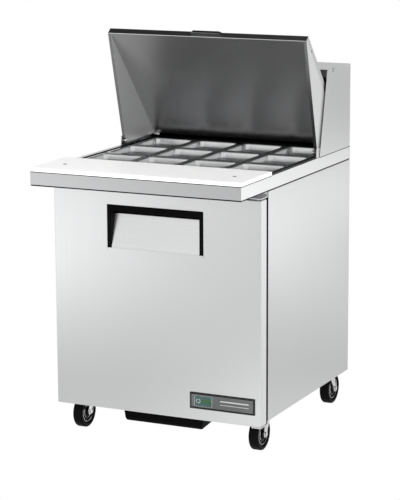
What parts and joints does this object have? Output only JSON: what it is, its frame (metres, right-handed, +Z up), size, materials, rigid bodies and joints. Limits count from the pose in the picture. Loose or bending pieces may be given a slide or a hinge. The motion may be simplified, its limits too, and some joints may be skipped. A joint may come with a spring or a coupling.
{
  "type": "sandwich prep table",
  "caption": "Refrigerated sandwich prep table: insulated cabinet with a hinged door, lift-out pans under a tilting lid, cutting board and swivel casters.",
  "frame": {"origin": "on the floor, under the centre of the object's outline seen from above", "axes": "+Z up, -Y towards the operator and the door's front, +X to the operator's right, where the door's hinge is"},
  "size_m": [0.702, 0.867, 1.2546],
  "materials": {
    "stainless": "fine brushed stainless",
    "liner_steel": "smooth stainless",
    "bright_steel": "bright plated steel",
    "galvanised": "dull zinc-coated sheet",
    "black_plastic": "satin black moulding",
    "black_rubber": "matt black rubber",
    "tyre": "matt black tread",
    "caster_steel": "zinc-plated pressed steel",
    "foam": "rigid foam, hidden",
    "coil_fin": "thin fins",
    "compressor_black": "black enamel",
    "shelf_wire": "grey coated wire",
    "white_board": "white polyethylene, fine matt grain",
    "badge": "grey plate with a silver edge"
  },
  "bodies": {
    "cabinet": {"counter_frame": "stainless", "side_panel_left": "stainless", "side_panel_right": "stainless", "hood_side_left": "stainless", "hood_side_right": "stainless", "hood_cover": "stainless", "cabinet_liner": "liner_steel", "pan_dividers": "liner_steel", "lid_bracket_left": "bright_steel", "lid_bracket_right": "bright_steel", "upper_hinge_bracket": "bright_steel", "lower_hinge_bracket": "bright_steel", "floor_panel": "galvanised", "back_panel": "galvanised", "fan_shroud": "galvanised", "door_frame": "black_plastic", "well_frame": "black_plastic", "air_intake": "black_plastic", "counter_seal": "black_rubber", "cord_gland": "black_rubber", "caster_base_frame": "caster_steel", "insulation_foam": "foam", "condenser_coil": "coil_fin", "evaporator_coil": "coil_fin", "compressor": "compressor_black", "shelf_lower": "shelf_wire", "shelf_upper": "shelf_wire"},
    "lid": {"lid_skin": "stainless", "lid_liner": "liner_steel", "lid_handle": "stainless", "lid_pin_left": "bright_steel", "lid_pin_right": "bright_steel"},
    "door": {"door_skin": "stainless", "door_inner_panel": "liner_steel", "door_gasket": "black_rubber", "door_handle_cup": "black_plastic", "door_grip_plate": "liner_steel", "door_badge": "badge"},
    "board": {"cutting_board": "white_board"},
    "fan": {"condenser_fan": "black_plastic"},
    "pan_front_1": {"pan_front_1": "liner_steel"},
    "pan_front_2": {"pan_front_2": "liner_steel"},
    "pan_front_3": {"pan_front_3": "liner_steel"},
    "pan_front_4": {"pan_front_4": "liner_steel"},
    "pan_middle_1": {"pan_middle_1": "liner_steel"},
    "pan_middle_2": {"pan_middle_2": "liner_steel"},
    "pan_middle_3": {"pan_middle_3": "liner_steel"},
    "pan_middle_4": {"pan_middle_4": "liner_steel"},
    "pan_rear_1": {"pan_rear_1": "liner_steel"},
    "pan_rear_2": {"pan_rear_2": "liner_steel"},
    "pan_rear_3": {"pan_rear_3": "liner_steel"},
    "pan_rear_4": {"pan_rear_4": "liner_steel"},
    "swivel_front_left": {"caster_fork_front_left": "caster_steel"},
    "wheel_front_left": {"wheel_front_left": "tyre"},
    "swivel_front_right": {"caster_fork_front_right": "caster_steel"},
    "wheel_front_right": {"wheel_front_right": "tyre"},
    "swivel_rear_left": {"caster_fork_rear_left": "caster_steel"},
    "wheel_rear_left": {"wheel_rear_left": "tyre"},
    "swivel_rear_right": {"caster_fork_rear_right": "caster_steel"},
    "wheel_rear_right": {"wheel_rear_right": "tyre"}
  },
  "joints": [
    {"name": "lid_hinge", "type": "hinge", "parent": "cabinet", "child": "lid", "pos_m": [0, 0.1678, 0.8757], "axis": [-1, 0, 0], "range_deg": [-75, 0]},
    {"name": "door_hinge", "type": "hinge", "parent": "cabinet", "child": "door", "pos_m": [0.335, -0.27, 0.0984], "axis": [0, 0, 1], "range_deg": [0, 110]},
    {"name": "board_lift", "type": "slide", "parent": "cabinet", "child": "board", "axis": [0, 0, 1], "range_m": [0, 0.05]},
    {"name": "fan_spin", "type": "hinge", "parent": "cabinet", "child": "fan", "pos_m": [0.18, 0.321, 0.27], "axis": [0, 1, 0], "continuous": true},
    {"name": "pan_front_1_lift", "type": "slide", "parent": "cabinet", "child": "pan_front_1", "axis": [0, 0, 1], "range_m": [0, 0.12]},
    {"name": "pan_front_2_lift", "type": "slide", "parent": "cabinet", "child": "pan_front_2", "axis": [0, 0, 1], "range_m": [0, 0.12]},
    {"name": "pan_front_3_lift", "type": "slide", "parent": "cabinet", "child": "pan_front_3", "axis": [0, 0, 1], "range_m": [0, 0.12]},
    {"name": "pan_front_4_lift", "type": "slide", "parent": "cabinet", "child": "pan_front_4", "axis": [0, 0, 1], "range_m": [0, 0.12]},
    {"name": "pan_middle_1_lift", "type": "slide", "parent": "cabinet", "child": "pan_middle_1", "axis": [0, 0, 1], "range_m": [0, 0.12]},
    {"name": "pan_middle_2_lift", "type": "slide", "parent": "cabinet", "child": "pan_middle_2", "axis": [0, 0, 1], "range_m": [0, 0.12]},
    {"name": "pan_middle_3_lift", "type": "slide", "parent": "cabinet", "child": "pan_middle_3", "axis": [0, 0, 1], "range_m": [0, 0.12]},
    {"name": "pan_middle_4_lift", "type": "slide", "parent": "cabinet", "child": "pan_middle_4", "axis": [0, 0, 1], "range_m": [0, 0.12]},
    {"name": "pan_rear_1_lift", "type": "slide", "parent": "cabinet", "child": "pan_rear_1", "axis": [0, 0, 1], "range_m": [0, 0.01]},
    {"name": "pan_rear_2_lift", "type": "slide", "parent": "cabinet", "child": "pan_rear_2", "axis": [0, 0, 1], "range_m": [0, 0.01]},
    {"name": "pan_rear_3_lift", "type": "slide", "parent": "cabinet", "child": "pan_rear_3", "axis": [0, 0, 1], "range_m": [0, 0.01]},
    {"name": "pan_rear_4_lift", "type": "slide", "parent": "cabinet", "child": "pan_rear_4", "axis": [0, 0, 1], "range_m": [0, 0.01]},
    {"name": "swivel_front_left", "type": "hinge", "parent": "cabinet", "child": "swivel_front_left", "pos_m": [-0.306, -0.1635, 0.1145], "axis": [0, 0, 1], "continuous": true},
    {"name": "roll_front_left", "type": "hinge", "parent": "swivel_front_left", "child": "wheel_front_left", "pos_m": [-0.306, -0.198, 0.051], "axis": [1, 0, 0], "continuous": true},
    {"name": "swivel_front_right", "type": "hinge", "parent": "cabinet", "child": "swivel_front_right", "pos_m": [0.306, -0.1635, 0.1145], "axis": [0, 0, 1], "continuous": true},
    {"name": "roll_front_right", "type": "hinge", "parent": "swivel_front_right", "child": "wheel_front_right", "pos_m": [0.306, -0.198, 0.051], "axis": [1, 0, 0], "continuous": true},
    {"name": "swivel_rear_left", "type": "hinge", "parent": "cabinet", "child": "swivel_rear_left", "pos_m": [-0.306, 0.3475, 0.1145], "axis": [0, 0, 1], "continuous": true},
    {"name": "roll_rear_left", "type": "hinge", "parent": "swivel_rear_left", "child": "wheel_rear_left", "pos_m": [-0.306, 0.382, 0.051], "axis": [1, 0, 0], "continuous": true},
    {"name": "swivel_rear_right", "type": "hinge", "parent": "cabinet", "child": "swivel_rear_right", "pos_m": [0.306, 0.3475, 0.1145], "axis": [0, 0, 1], "continuous": true},
    {"name": "roll_rear_right", "type": "hinge", "parent": "swivel_rear_right", "child": "wheel_rear_right", "pos_m": [0.306, 0.382, 0.051], "axis": [1, 0, 0], "continuous": true}
  ]
}
